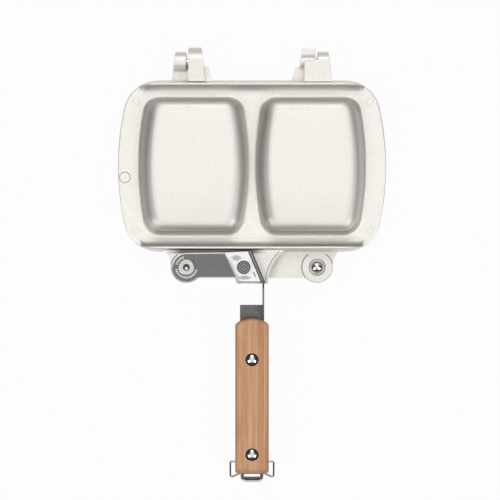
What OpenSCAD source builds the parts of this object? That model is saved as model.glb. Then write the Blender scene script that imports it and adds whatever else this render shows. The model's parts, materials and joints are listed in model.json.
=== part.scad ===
// Folding double pie iron: two cast plates on a hook hinge, each with a handle that
// folds round beside its pockets, and a wire bail at the end of the upper grip.
// The halves meet at the parting plane. The upper half is modelled first; the lower
// half is the same casting turned over about the Y axis.

/* [Plates] */
// Width of a plate, side to side
plate_w = 235; // [225:1:260]
// Depth of a plate, front to back
plate_d = 150; // [144:1:165]
// Radius of the bowed left and right edges
plate_side_r = 231; // [180:1:320]
// Radius of the plate's corners
plate_corner_r = 31; // [24:1:36]
// Thickness of the flat flange
flange_t = 3.2; // [2.8:0.1:3.3]
// Gap between the two plates when they are shut
parting_gap = 0.2; // [0.1:0.05:0.4]

/* [Pockets] */
// Width of one bread pocket at its foot
pocket_w = 97; // [90:0.5:98]
// Depth of a pocket at its foot
pocket_d = 121; // [110:0.5:122]
// Distance of a pocket's centre from the middle
pocket_x = 50.8; // [50:0.1:52]
// Height of a pocket above the parting plane
pocket_h = 20; // [18.8:0.2:24]
// Radius of a pocket's bowed sides
pocket_side_r = 263; // [180:1:400]
// Radius of a pocket's corners
pocket_corner_r = 15; // [13:0.5:18]
// Wall of a pocket
pocket_wall = 3; // [2:0.1:3.6]
// Lean of a pocket's walls from upright, in degrees
pocket_lean = 20; // [12:1:24]
// Radius from a pocket's wall into its flat top
pocket_round_r = 11; // [8:0.5:12]

/* [Rims] */
// Height of the front and back rims above the parting plane
rim_h = 11; // [10:0.5:12]
// Width of a rim's flat top
rim_top_w = 2; // [1.5:0.1:3]
// How far a rim's outer face leans in at its top
rim_draft = 2.7; // [1.5:0.1:3.5]
// Radius of the hollow between a rim and the flange
rim_fillet_r = 7.8; // [6:0.1:7.8]
// Half length of a rim's flat top
rim_half_l = 89.5; // [84:0.5:90]
// Length of the slope at each end of a rim
rim_end_l = 12.1; // [9:0.1:13]

/* [Hinge] */
// Distance of the hinge axis behind the plate's back edge
hinge_back = 16.5; // [15.5:0.1:20]
// Radius of the hinge pins
hinge_pin_r = 3; // [2.5:0.1:3.4]
// Radial running clearance of the pin in its hook
hinge_fit = 0.07; // [0.03:0.01:0.1]
// Radius of a knuckle barrel
knuckle_r = 8.8; // [8.6:0.1:9.4]
// Radius of the eye round the pin
eye_r = 6.2; // [5.5:0.1:6.2]
// Radius of a hook's tail
hook_r = 13; // [11:0.1:14]
// Angle above level at which a hook's tail starts
tail_angle = 22; // [20:1:30]
// Inner side of a hook from the middle
hook_x = 44.1; // [42:0.1:46]
// Width of a hook
hook_w = 11.5; // [9:0.1:11.8]
// Gap between a hook and the knuckle beside it
hinge_side_gap = 1.8; // [1:0.1:2.5]
// Width of a knuckle barrel
knuckle_w = 9.4; // [8:0.1:11]

/* [Lugs] */
// Distance of a handle's pivot from the middle
pivot_x = 57.2; // [56.8:0.1:60]
// Distance of the pivots in front of the plate's front edge
pivot_front = 13.6; // [13.4:0.1:15]
// Radius of the boss round a pivot
boss_r = 13.6; // [12:0.1:14.5]
// How far a boss stands out of its lug's inner face
boss_rise = 0.5; // [0.2:0.1:0.8]
// Height of the lugs' outer face above the parting plane
lug_h = 8; // [7.6:0.1:8.4]
// Height of the lugs' inner face above the parting plane
lug_low = 1.5; // [1:0.1:2.5]
// How far the lug plate stands out in front of the plate
lug_out = 23; // [21:0.5:24]
// How far the middle tongue stands out in front of the plate
tongue_out = 27.9; // [26:0.1:28.2]
// Half width of the tongue at its tip
tongue_half_w = 14; // [13:0.5:16]
// Half width of the tongue where it meets the plate
tongue_root_half_w = 27.5; // [24:0.5:30]
// Radius of the hollow between a pivot's boss and the plate
lug_hollow_r = 14; // [12:0.5:16]

/* [Handle arms] */
// Thickness of the arms' steel sheet
sheet_t = 1.5; // [1.2:0.1:1.8]
// Radius of an arm's disc round its pivot
arm_disc_r = 12.5; // [11:0.1:13]
// Width of the strap below the pivot's level
strap_drop = 8.3; // [7:0.1:10]
// Lift angle of the polished ramp, in degrees
ramp_angle = 8; // [5:0.5:9]
// Distance from the web to the start of the ramp
ramp_start = 33.8; // [33:0.1:36]
// How far the ramp slants along its length
ramp_slant = 12; // [10:0.1:13]
// Distance of the ramp's lower corners in front of the pivots
ramp_low = 13; // [12:0.1:13.5]
// Place of the upright web from the middle
web_x = 9.9; // [9:0.1:9.9]
// Half width of the tang that carries a grip
tang_half_w = 10.5; // [10.5:0.1:12]
// Height of a tang's inner face above the parting plane
tang_z = 3.7; // [3.6:0.1:4]
// Distance from the pivots to the start of a tang
tang_start = 33.1; // [30:0.5:36]
// Length of the steel end that stands out past the lower grip
end_out = 8.8; // [8:0.1:12]
// Height of the turned-in lip at the steel end
lip_h = 4.7; // [3:0.1:4.9]

/* [Pivots] */
// Radius of a pivot screw's head
screw_head_r = 7; // [6:0.1:8]
// Thickness of a pivot screw's head
screw_head_t = 2.2; // [1.8:0.1:2.6]
// Radius of a pivot screw's shoulder
shoulder_r = 4; // [3.5:0.1:4.5]
// Radius of a pivot screw's threaded end
thread_r = 3; // [2.5:0.1:3.2]
// Radial running clearance of an arm on its screw
pivot_fit = 0.06; // [0.03:0.01:0.1]
// Thickness of the washer under an arm
washer_t = 0.35; // [0.25:0.05:0.5]
// Radius of the washer under an arm
washer_r = 9; // [7:0.1:11]
// Radius of the domed nut
nut_r = 4.8; // [4.2:0.1:5.5]
// Radius of the recess round the nut
recess_r = 7.3; // [6:0.1:9]
// Depth of the recess round the nut
recess_depth = 3.2; // [2.6:0.1:3.6]

/* [Lock buttons] */
// Radius of a button's visible face
button_r = 5.8; // [5:0.1:6]
// Travel of a button
button_travel = 2; // [1.5:0.1:2]
// Radius of a button's lock pin
lock_pin_r = 2.4; // [2:0.1:3]
// Radial running clearance of a button in its collar
button_fit = 0.08; // [0.04:0.01:0.1]
// Place of a button from the web, toward the pivot
button_back = 17.1; // [16:0.1:18]
// Wall of the collar round a button
collar_wall = 0.9; // [0.8:0.1:1]
// Radius of the spring's wire
spring_wire_r = 0.3; // [0.25:0.05:0.35]

/* [Grips] */
// Half width of a grip
grip_half_w = 14.6; // [13:0.1:14.6]
// Thickness of a grip
grip_t = 10.5; // [10:0.1:11]
// Length of a grip
grip_l = 135.3; // [125:0.1:140]
// Distance from the pivots to a grip's arched top
grip_start = 44.4; // [42:0.1:48]
// Rise of a grip's arched top
grip_arch = 6.1; // [4:0.1:8]
// Radius along a grip's outer edges
grip_edge_r = 3.5; // [2:0.5:5]
// Radius across a grip's free end
grip_end_r = 6; // [5.6:0.1:7]
// Radius of a rivet's domed head
rivet_head_r = 5.7; // [5:0.1:6.5]
// Height of a rivet's domed head
rivet_dome_h = 2.6; // [2:0.1:3]
// Radius of a rivet's shank
rivet_r = 2.5; // [2:0.1:3]
// Distance from a grip's top to its first rivet
rivet_in = 35.9; // [25:0.1:45]
// Distance from a grip's free end to its last rivet
rivet_end_in = 16.7; // [16:0.1:22]

/* [Bail] */
// Radius of the bail's wire
wire_r = 0.8; // [0.7:0.05:0.8]
// Radial running clearance of the wire in the grip
wire_fit = 0.1; // [0.05:0.01:0.1]
// Distance from the grip's free end to the bail's pivot
bail_in = 10.3; // [10:0.1:10.4]
// Height of the bail's pivot above the parting plane
bail_z = 8; // [7.8:0.1:8.2]
// Half width of the bail at its outer corners
bail_half_w = 19; // [18:0.1:22]
// Half length of the bail's crossbar
bail_bar_half = 10.4; // [8:0.1:12]
// Distance from the bail's pivot to its outer corners
bail_corner = 16.4; // [15:0.1:16.8]
// Distance from the bail's pivot to its crossbar
bail_bar = 11.9; // [11.9:0.1:12.6]
// Slope of the bail below level at rest, in degrees
bail_slope = 24.8; // [18:0.1:24.8]
// Radius of the bail's bends
bail_bend_r = 1.5; // [1.4:0.1:2.2]

/* [Hidden] */
$fn = 64;

seat_gap = 0.01;      // between pieces that are pressed or screwed together
slide_gap = 0.05;     // between an arm and the washer and head beside it
arc_steps = 6;        // straight pieces in a corner
wall_steps = 6;       // straight pieces in a rounded pocket wall
reach_in = 5;         // how far lugs and hinge roots reach into their rim
hook_clear = 0.5;     // between a hook and the casting it turns beside
thread_l = (recess_depth - boss_rise) / 2;    // of a pivot screw, in its nut

// places that follow from the sizes above
half_w = plate_w / 2;
half_d = plate_d / 2;
shut_z = parting_gap / 2;
hinge_y = half_d + hinge_back;
pivot_y = -half_d - pivot_front;
washer_z = lug_h;
strap_z = washer_z + washer_t + slide_gap;
strap_top = strap_z + sheet_t;
tang_top = tang_z + sheet_t;
grip_end_y = pivot_y - grip_start - grip_l;
upper_reach = pivot_x + web_x;
lower_reach = pivot_x - web_x;
frame_y = (-(grip_end_y - end_out) - (hinge_y + hook_r * cos(tail_angle))) / 2;
knuckle_x = hook_x + hook_w + hinge_side_gap;

// the button's cup: floor, spring space, the button's flange and the lip over it
collar_z = strap_z;
collar_floor = 0.6;
collar_lip = 0.75;
plunger_t = 0.6;
plunger_r = button_r + 0.8;
collar_r = plunger_r + button_fit + collar_wall;
spring_shut = 1.6;
pin_clear = 0.2;
button_rest_z = collar_z + collar_floor + spring_shut + button_travel;

// stand the part on its lower pockets, with the overall length centred
module in_frame() {
    translate([0, frame_y, pocket_h]) children();
}

module turned_over() {
    rotate([0, 180, 0]) children();
}

function arc(cx, cy, r, from, to, steps) =
    [for (i = [0 : steps]) let (a = from + (to - from) * i / steps) [cx + r * cos(a), cy + r * sin(a)]];

function turned(points, side) = [for (p = points) [side * p[0], side * p[1]]];

// a four-sided outline whose left and right sides bow out, with round corners
function bowed(hw, hd, side_r, corner_r) =
    let (
        a = asin((hd - corner_r) / (side_r - corner_r)),
        cx = hw - side_r,
        corner_x = cx + (side_r - corner_r) * cos(a),
        half = concat(
            arc(cx, 0, side_r, -a, a, arc_steps),
            [for (i = [1 : arc_steps]) let (t = a + (90 - a) * i / arc_steps)
                [corner_x + corner_r * cos(t), hd - corner_r + corner_r * sin(t)]],
            [for (i = [0 : arc_steps - 1]) let (t = 90 + (90 - a) * i / arc_steps)
                [-corner_x + corner_r * cos(t), hd - corner_r + corner_r * sin(t)]]
        )
    )
    concat(half, turned(half, -1));

// a closed skin through rings that all have the same number of points
module skin(rings) {
    n = len(rings[0]);
    last = len(rings) - 1;
    points = [for (ring = rings) for (p = ring) p];
    sides = [for (k = [0 : last - 1]) for (i = [0 : n - 1])
        let (a = k * n + i, b = k * n + (i + 1) % n)
        each [[a, b, b + n], [a, b + n, a + n]]];
    bottom = [for (i = [n - 1 : -1 : 0]) i];
    top = [for (i = [0 : n - 1]) last * n + i];
    polyhedron(points, [for (f = concat(sides, [bottom, top])) [for (i = [len(f) - 1 : -1 : 0]) f[i]]]);
}

// a (y, z) profile pulled along X
module along_x(x0, x1) {
    translate([x0, 0, 0]) rotate([90, 0, 90]) linear_extrude(x1 - x0) children();
}

module slab(z0, z1) {
    translate([0, 0, z0]) linear_extrude(z1 - z0) children();
}

// a domed disc that rises from z = 0
module dome(r, h) {
    ball = (r * r + h * h) / (2 * h);
    rotate_extrude() polygon(concat([[0, 0]], [for (i = [0 : arc_steps])
        let (a = asin(r / ball) * (1 - i / arc_steps)) [ball * sin(a), ball * cos(a) - ball + h]]));
}

// the casting that both halves share

// rings of a pocket's face, `wall` inside the outer face, from z0 to its flat top
function pocket_rings(wall, z0) =
    let (
        r = pocket_round_r - wall,
        bend_z = pocket_h - pocket_round_r + pocket_round_r * sin(pocket_lean),
        bend_in = (bend_z - flange_t) * tan(pocket_lean),
        lean_in = wall / cos(pocket_lean),
        depth_share = 0.82,
        corner_share = 0.65,
        steps = concat(
            [[(z0 - flange_t) * tan(pocket_lean) + lean_in, z0]],
            [for (i = [0 : wall_steps]) let (t = pocket_lean + (90 - pocket_lean) * i / wall_steps)
                [bend_in + pocket_round_r * cos(pocket_lean) - r * cos(t),
                 pocket_h - pocket_round_r + r * sin(t)]]
        )
    )
    [for (s = steps) [for (p = bowed(pocket_w / 2 - s[0], pocket_d / 2 - s[0] * depth_share,
        pocket_side_r - s[0], pocket_corner_r - s[0] * corner_share)) [p[0], p[1], s[1]]]];

module both_pockets() {
    for (side = [-1, 1]) translate([side * pocket_x, 0, 0]) children();
}

module plan_outline() {
    polygon(bowed(half_w, half_d, plate_side_r, plate_corner_r));
}

module rim_profile() {
    inner = half_d - rim_draft - rim_top_w;
    polygon(concat(
        [[half_d, shut_z], [half_d, rim_h], [inner, rim_h]],
        [for (i = [1 : arc_steps]) let (a = 90 * i / arc_steps)
            [inner - rim_fillet_r + rim_fillet_r * cos(a), rim_h - rim_fillet_r * sin(a)]],
        [[inner - rim_fillet_r, shut_z]]
    ));
}

// the rims lean in all round with the outline, and their ends slope down to the flange
module rims() {
    foot_l = rim_half_l + rim_end_l;
    intersection() {
        skin([for (s = [[0, shut_z], [rim_draft, rim_h]])
            [for (p = bowed(half_w - s[0], half_d - s[0], plate_side_r - s[0], plate_corner_r - s[0]))
                [p[0], p[1], s[1]]]]);
        rotate([90, 0, 0]) linear_extrude(2 * half_d, center = true)
            polygon([[-foot_l, shut_z], [foot_l, shut_z], [foot_l, flange_t],
                [rim_half_l, rim_h], [-rim_half_l, rim_h], [-foot_l, flange_t]]);
        for (side = [0, 1]) mirror([0, side, 0]) along_x(-foot_l, foot_l) rim_profile();
    }
}

// the tongue in the middle, whose sides curve in like a waist
module tongue_plan() {
    step_in = tongue_root_half_w - tongue_half_w;
    waist_r = (tongue_out * tongue_out + step_in * step_in) / (2 * step_in);
    waist = [for (i = [0 : arc_steps]) let (a = asin(tongue_out / waist_r) * i / arc_steps)
        [tongue_half_w + waist_r - waist_r * cos(a), -half_d - tongue_out + waist_r * sin(a)]];
    side = concat(waist, [[tongue_root_half_w, -half_d + reach_in]]);
    polygon(concat(side, [for (i = [arc_steps + 1 : -1 : 0]) [-side[i][0], side[i][1]]]));
}

module lug_plan() {
    hollow_in = 3;
    hollow_y = -half_d - lug_hollow_r + hollow_in;
    tongue_plan();
    translate([-pivot_x, -half_d - lug_out]) square([pivot_x - tongue_half_w / 2, lug_out + reach_in]);
    translate([-pivot_x, pivot_y]) circle(boss_r);
    // the hollow shoulder between the boss and the rim
    translate([-pivot_x - boss_r - lug_hollow_r, hollow_y]) difference() {
        square([boss_r + lug_hollow_r, -half_d + reach_in - hollow_y]);
        circle(lug_hollow_r);
    }
}

module hook() {
    root_y = half_d - reach_in;
    profile = concat(
        [[root_y, shut_z], [root_y, rim_h]],
        arc(hinge_y, 0, hook_r, 90, tail_angle, arc_steps),
        [[hinge_y, 0], [hinge_y, shut_z]]
    );
    outer = hook_x + hook_w;
    flare = 4;
    intersection() {
        along_x(-outer, -hook_x + flare) union() {
            polygon(profile);
            translate([hinge_y, 0]) circle(eye_r);
        }
        slab(-hook_r, hook_r) polygon([
            [-outer, root_y], [-hook_x + flare, root_y],
            [-hook_x, hinge_y + hook_r], [-outer, hinge_y + hook_r]
        ]);
    }
    // the small gusset beside the hook
    gusset_l = 12;
    gusset_w = 6.5;
    tip_r = 2.5;
    slab(shut_z, lug_h) {
        polygon([
            [-hook_x, root_y], [-hook_x + flare + gusset_w, root_y],
            [-hook_x + flare + tip_r, half_d + gusset_l - tip_r], [-hook_x, half_d + gusset_l - tip_r]
        ]);
        translate([-hook_x + flare, half_d + gusset_l - tip_r]) circle(tip_r);
    }
}

module knuckle() {
    root_y = half_d - reach_in;
    front_y = hinge_y - eye_r - hook_clear;
    shelf_z = eye_r + hook_clear;
    inner = hook_x + 1.5;
    outer = knuckle_x + knuckle_w;
    flare = 4;
    intersection() {
        union() {
            along_x(inner, outer + flare) translate([root_y, shut_z])
                square([front_y - root_y, knuckle_r - shut_z]);
            // the shelf that covers the other half's hook
            along_x(inner, knuckle_x) translate([root_y, shelf_z])
                square([hinge_y - root_y, knuckle_r - shelf_z]);
            along_x(knuckle_x, outer + flare) union() {
                translate([root_y, shut_z]) square([hinge_y - root_y, knuckle_r - shut_z]);
                translate([hinge_y, 0]) circle(knuckle_r);
            }
        }
        slab(-knuckle_r, knuckle_r) polygon([
            [inner, root_y], [outer + flare, root_y],
            [outer, hinge_y + knuckle_r], [inner, hinge_y + knuckle_r]
        ]);
    }
}

module x_bore(x0, x1, r) {
    translate([x0, hinge_y, 0]) rotate([0, 90, 0]) cylinder(r = r, h = x1 - x0);
}

// the upper casting; the lock pin's bore is lock_reach from the pivot
module casting(lock_reach) {
    past = 1;
    difference() {
        union() {
            slab(shut_z, flange_t) plan_outline();
            rims();
            both_pockets() skin(pocket_rings(0, flange_t / 2));
            slab(lug_low, lug_h) lug_plan();
            translate([-pivot_x, pivot_y]) slab(lug_low - boss_rise, lug_h) circle(boss_r);
            hook();
            knuckle();
        }
        both_pockets() skin(pocket_rings(pocket_wall, -past));
        translate([-pivot_x, pivot_y, 0]) {
            cylinder(r = shoulder_r + seat_gap, h = lug_h + past);
            cylinder(r = recess_r, h = lug_low + recess_depth);
        }
        // blind, as deep as the pressed pin reaches
        translate([-pivot_x + lock_reach, pivot_y, lug_h - button_travel])
            cylinder(r = lock_pin_r + pin_clear, h = button_travel + past);
        x_bore(-hook_x - hook_w - past, -hook_x + past * 5, hinge_pin_r + hinge_fit);
        x_bore(hook_x - past, knuckle_x + knuckle_w + past * 3, hinge_pin_r + seat_gap);
    }
}

// pieces in the place they have on the upper half

module hinge_pin() {
    end_in = 0.5;
    translate([hook_x + end_in, hinge_y, 0]) rotate([0, 90, 0])
        cylinder(r = hinge_pin_r, h = knuckle_x + knuckle_w - hook_x - 2 * end_in);
}

module at_pivot() {
    translate([-pivot_x, pivot_y, 0]) children();
}

module pivot_screw() {
    head_z = strap_top + slide_gap;
    recess_z = lug_low + recess_depth;
    key_r = 2.6;
    key_depth = 1.6;
    bevel = 0.5;
    at_pivot() difference() {
        union() {
            translate([0, 0, head_z]) cylinder(r = screw_head_r, h = screw_head_t - bevel);
            translate([0, 0, head_z + screw_head_t - bevel])
                cylinder(r1 = screw_head_r, r2 = screw_head_r - bevel, h = bevel);
            translate([0, 0, recess_z]) cylinder(r = shoulder_r, h = head_z - recess_z);
            translate([0, 0, recess_z - thread_l]) cylinder(r = thread_r, h = thread_l);
        }
        translate([0, 0, head_z + screw_head_t - key_depth]) cylinder(r = key_r, h = 2 * key_depth, $fn = 6);
    }
}

module pivot_nut() {
    recess_z = lug_low + recess_depth;
    base_t = 0.8;
    hole_depth = thread_l + slide_gap;
    at_pivot() translate([0, 0, recess_z]) mirror([0, 0, 1]) difference() {
        union() {
            cylinder(r = nut_r, h = base_t);
            translate([0, 0, base_t]) dome(nut_r, recess_depth - base_t - boss_rise);
        }
        translate([0, 0, -hole_depth]) cylinder(r = thread_r + seat_gap, h = 2 * hole_depth);
    }
}

module pivot_washer() {
    at_pivot() translate([0, 0, washer_z]) difference() {
        cylinder(r = washer_r, h = washer_t);
        translate([0, 0, -1]) cylinder(r = shoulder_r + slide_gap, h = washer_t + 2);
    }
}

// corners of the ramp, from the web's foot: inner and outer ends of its two bends
ramp_near_in = [-ramp_start, arm_disc_r + 0.4];
ramp_near_out = [ramp_slant - ramp_start, -ramp_low];
ramp_far_out = [sheet_t, -ramp_low];
ramp_far_in = [-web_x, arm_disc_r + 1.7];
upper_foot = [ramp_near_out - ramp_near_in];
// the lower ramp's foot stays behind the lug and the tongue
foot_in = 0.6;
foot_drop = lug_out - pivot_front - foot_in;
lower_foot = [
    upper_foot[0] * (ramp_near_in[1] + foot_drop) / (ramp_near_in[1] + ramp_low),
    [web_x - tongue_half_w + foot_in, -foot_drop] - ramp_near_in
];

module arm_button_place(reach) {
    translate([reach - button_back, 0, 0]) children();
}

// the bent sheet: pivot disc and strap, ramp, fold, web and tang
module arm_sheet(reach, foot, tang_x, tang_end) {
    near = ramp_near_out - ramp_near_in;
    far = ramp_far_out - ramp_far_in;
    far_n = [-far[1], far[0]] / norm(far);
    web_low = tang_z - strap_z;
    web_top = norm(ramp_far_in - ramp_near_in) * sin(ramp_angle) + sheet_t;
    fold_low = lug_h + 0.3 - strap_z;
    strap_share = (ramp_near_in[1] + strap_drop) / (ramp_near_in[1] + ramp_low);
    overlap = 0.5;
    tip_y = -half_d - tongue_out - pivot_y - overlap;
    web_end = -grip_start - sheet_t;
    web_nose = 4 * sheet_t;
    web_slope = 9.5 * sheet_t;
    translate([0, 0, strap_z]) difference() {
        union() {
            linear_extrude(sheet_t) {
                circle(arm_disc_r);
                polygon([
                    [0, arm_disc_r], [reach + ramp_near_in[0], ramp_near_in[1]],
                    [reach + ramp_near_in[0] + near[0] * strap_share, -strap_drop], [0, -strap_drop]
                ]);
            }
            translate([reach + ramp_near_in[0], ramp_near_in[1], 0])
                rotate(a = ramp_angle, v = [near[0], near[1], 0])
                linear_extrude(sheet_t)
                polygon(concat([[0, 0]], foot, [ramp_far_out - ramp_near_in, ramp_far_in - ramp_near_in]));
            translate([reach + ramp_far_in[0], ramp_far_in[1], 0]) slab(fold_low, web_top)
                polygon([[0, 0], far, far - sheet_t * far_n, -sheet_t * far_n]);
            along_x(reach - sheet_t / 2, reach + sheet_t / 2) polygon([
                [overlap - ramp_low, fold_low], [tip_y, fold_low], [tip_y - overlap, web_low],
                [web_end, web_low], [web_end, web_low + sheet_t], [web_end + web_nose, web_top / 2],
                [web_end + web_slope, web_top], [overlap - ramp_low, web_top]
            ]);
            slab(web_low, web_low + sheet_t) translate([tang_x - tang_half_w, tang_end])
                square([tang_half_w * 2, -tang_start - tang_end]);
            children();
        }
        translate([0, 0, -1]) cylinder(r = shoulder_r + pivot_fit, h = sheet_t + 2);
        arm_button_place(reach) translate([0, 0, -1]) cylinder(r = collar_r + seat_gap, h = web_top + 3);
        for (y = rivet_places()) translate([tang_x, y, web_low - 1])
            cylinder(r = rivet_r + seat_gap, h = sheet_t + 2);
    }
}

// rivets, measured from the pivot
function rivet_places() = [-grip_start - rivet_in, -grip_start - grip_l + rivet_end_in];

module grip_body(tang_x) {
    arch_r = (grip_half_w * grip_half_w + grip_arch * grip_arch) / (2 * grip_arch);
    sweep = asin(grip_half_w / arch_r);
    corner_r = 2;
    end_y = -grip_start - grip_l;
    plan = concat(
        arc(0, -grip_start - arch_r, arch_r, 90 + sweep, 90 - sweep, 2 * arc_steps),
        arc(grip_half_w - corner_r, end_y + corner_r, corner_r, 0, -90, arc_steps),
        arc(corner_r - grip_half_w, end_y + corner_r, corner_r, -90, -180, arc_steps)
    );
    translate([tang_x, 0, tang_top]) difference() {
        intersection() {
            linear_extrude(grip_t) polygon(plan);
            // side profile, rounded over the free end
            along_x(-grip_half_w, grip_half_w) polygon(concat(
                [[end_y, 0]],
                arc(end_y + grip_end_r, grip_t - grip_end_r, grip_end_r, 180, 90, arc_steps),
                arc(-grip_start - grip_edge_r, grip_t - grip_edge_r, grip_edge_r, 90, 0, arc_steps),
                [[-grip_start, 0]]
            ));
            // cross-section, rounded along both outer edges
            rotate([90, 0, 0]) linear_extrude(grip_start + grip_l) polygon(concat(
                [[-grip_half_w, 0]],
                arc(grip_edge_r - grip_half_w, grip_t - grip_edge_r, grip_edge_r, 180, 90, arc_steps),
                arc(grip_half_w - grip_edge_r, grip_t - grip_edge_r, grip_edge_r, 90, 0, arc_steps),
                [[grip_half_w, 0]]
            ));
        }
        for (y = rivet_places()) translate([0, y, -1]) cylinder(r = rivet_r + seat_gap, h = grip_t + 2);
    }
}

module grip_rivets(tang_x) {
    for (y = rivet_places()) translate([tang_x, y, tang_z]) {
        cylinder(r = rivet_r, h = sheet_t + grip_t);
        translate([0, 0, sheet_t + grip_t]) dome(rivet_head_r, rivet_dome_h);
    }
}

// a cup whose rolled-in lip keeps the button in
module button_collar(reach) {
    past = 1;
    chamber_h = button_rest_z + plunger_t + slide_gap - collar_z;
    at_pivot() arm_button_place(reach) translate([0, 0, collar_z]) difference() {
        cylinder(r = collar_r, h = chamber_h + collar_lip);
        translate([0, 0, collar_floor]) {
            cylinder(r = plunger_r + button_fit, h = chamber_h - collar_floor);
            cylinder(r = button_r + button_fit, h = chamber_h + past);
        }
        translate([0, 0, -past]) cylinder(r = lock_pin_r + button_fit, h = collar_floor + 2 * past);
    }
}

module lock_button(reach) {
    tip_z = lug_h + pin_clear;
    face_h = 1.8;
    bevel = 0.4;
    at_pivot() arm_button_place(reach) {
        translate([0, 0, tip_z]) cylinder(r = lock_pin_r, h = button_rest_z - tip_z);
        translate([0, 0, button_rest_z]) {
            cylinder(r = plunger_r, h = plunger_t);
            cylinder(r = button_r, h = plunger_t + face_h - bevel);
            translate([0, 0, plunger_t + face_h - bevel])
                cylinder(r1 = button_r, r2 = button_r - bevel, h = bevel);
        }
    }
}

// a compression spring whose end turns sit on the collar's floor and the button
module button_spring(reach) {
    turns = 2.5;
    coil_r = (lock_pin_r + plunger_r) / 2;
    sides = 8;
    steps = 16;
    low = collar_z + collar_floor + spring_wire_r + slide_gap;
    rise = button_rest_z - collar_z - collar_floor - 2 * spring_wire_r - 2 * slide_gap;
    count = turns * steps;
    at_pivot() arm_button_place(reach) skin([for (k = [0 : count])
        let (a = 360 * k / steps, z = low + rise * k / count)
        [for (i = [0 : sides - 1]) let (b = -360 * i / sides)
            [(coil_r + spring_wire_r * cos(b)) * cos(a), (coil_r + spring_wire_r * cos(b)) * sin(a),
             z + spring_wire_r * sin(b)]]]);
}

module upper_arm_shape() {
    at_pivot() arm_sheet(upper_reach, upper_foot, pivot_x, grip_end_y - pivot_y + 1);
}

// the lower arm runs on past its grip into a steel end with a window and a lip
module lower_arm_shape() {
    end_y = grip_end_y - end_out - pivot_y;
    end_half = 10;
    corner_r = 5;
    lip_w = 1.6;
    lip_l = 2.4;
    window_half = 7;
    window_l = 3.6;
    window_in = 0.7;
    at_pivot() arm_sheet(lower_reach, lower_foot, pivot_x, grip_end_y - pivot_y) translate([pivot_x, 0, 0]) {
        slab(tang_z - strap_z, tang_top - strap_z) difference() {
            end_plan(end_half, end_y, corner_r);
            translate([-window_half, grip_end_y - pivot_y - window_in - window_l])
                square([2 * window_half, window_l]);
        }
        slab(tang_top - strap_z - lip_h, tang_z - strap_z + sheet_t / 3) difference() {
            end_plan(end_half, end_y, corner_r);
            translate([-2 * end_half, end_y + lip_l]) square([4 * end_half, 2 * end_out]);
            end_plan(end_half - lip_w, end_y + lip_w, corner_r - lip_w);
        }
    }
}

module end_plan(half, end_y, r) {
    polygon(concat(
        [[half, grip_end_y - pivot_y + 1], [-half, grip_end_y - pivot_y + 1]],
        arc(r - half, end_y + r, r, 180, 270, arc_steps),
        arc(half - r, end_y + r, r, 270, 360, arc_steps)
    ));
}

// nodes

module upper_plate() {
    color("gainsboro") in_frame() casting(upper_reach - button_back);
}

module lower_plate() {
    color("gainsboro") in_frame() turned_over() casting(lower_reach - button_back);
}

module upper_hinge_pin() {
    color("silver") in_frame() hinge_pin();
}

module lower_hinge_pin() {
    color("silver") in_frame() turned_over() hinge_pin();
}

module upper_pivot_screw() {
    color("silver") in_frame() pivot_screw();
}

module lower_pivot_screw() {
    color("silver") in_frame() turned_over() pivot_screw();
}

module upper_pivot_nut() {
    color("white") in_frame() pivot_nut();
}

module lower_pivot_nut() {
    color("white") in_frame() turned_over() pivot_nut();
}

module upper_pivot_washer() {
    color("silver") in_frame() pivot_washer();
}

module lower_pivot_washer() {
    color("silver") in_frame() turned_over() pivot_washer();
}

module upper_arm() {
    color("dimgray") in_frame() upper_arm_shape();
}

module lower_arm() {
    color("dimgray") in_frame() turned_over() lower_arm_shape();
}

module upper_grip() {
    hole_in = 4.4;
    color("peru") in_frame() difference() {
        at_pivot() grip_body(pivot_x);
        for (side = [-1, 1]) translate([side * grip_half_w, grip_end_y + bail_in, bail_z])
            rotate([0, 90, 0]) cylinder(r = wire_r + wire_fit, h = 2 * hole_in, center = true);
    }
}

module lower_grip() {
    color("peru") in_frame() turned_over() at_pivot() grip_body(pivot_x);
}

module upper_grip_rivets() {
    color("white") in_frame() at_pivot() grip_rivets(pivot_x);
}

module lower_grip_rivets() {
    color("white") in_frame() turned_over() at_pivot() grip_rivets(pivot_x);
}

module upper_button_collar() {
    color("silver") in_frame() button_collar(upper_reach);
}

module lower_button_collar() {
    color("silver") in_frame() turned_over() button_collar(lower_reach);
}

module upper_lock_button() {
    color("dimgray") in_frame() lock_button(upper_reach);
}

module lower_lock_button() {
    color("dimgray") in_frame() turned_over() lock_button(lower_reach);
}

module upper_button_spring() {
    color("silver") in_frame() button_spring(upper_reach);
}

module lower_button_spring() {
    color("silver") in_frame() turned_over() button_spring(lower_reach);
}

function heading(a, b) = atan2(b[1] - a[1], b[0] - a[0]);

// places round a bend of the wire at b, each with the way that the wire runs there
function bend(a, b, c) =
    let (
        from = heading(a, b),
        swing = heading(b, c) - from,
        sweep = swing > 180 ? swing - 360 : swing < -180 ? swing + 360 : swing,
        side = sweep < 0 ? -1 : 1,
        back = bail_bend_r * tan(abs(sweep) / 2),
        cx = b[0] - back * cos(from) - side * bail_bend_r * sin(from),
        cy = b[1] - back * sin(from) + side * bail_bend_r * cos(from)
    )
    [for (i = [0 : arc_steps]) let (h = from + sweep * i / arc_steps)
        [cx + side * bail_bend_r * sin(h), cy - side * bail_bend_r * cos(h), h]];

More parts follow.
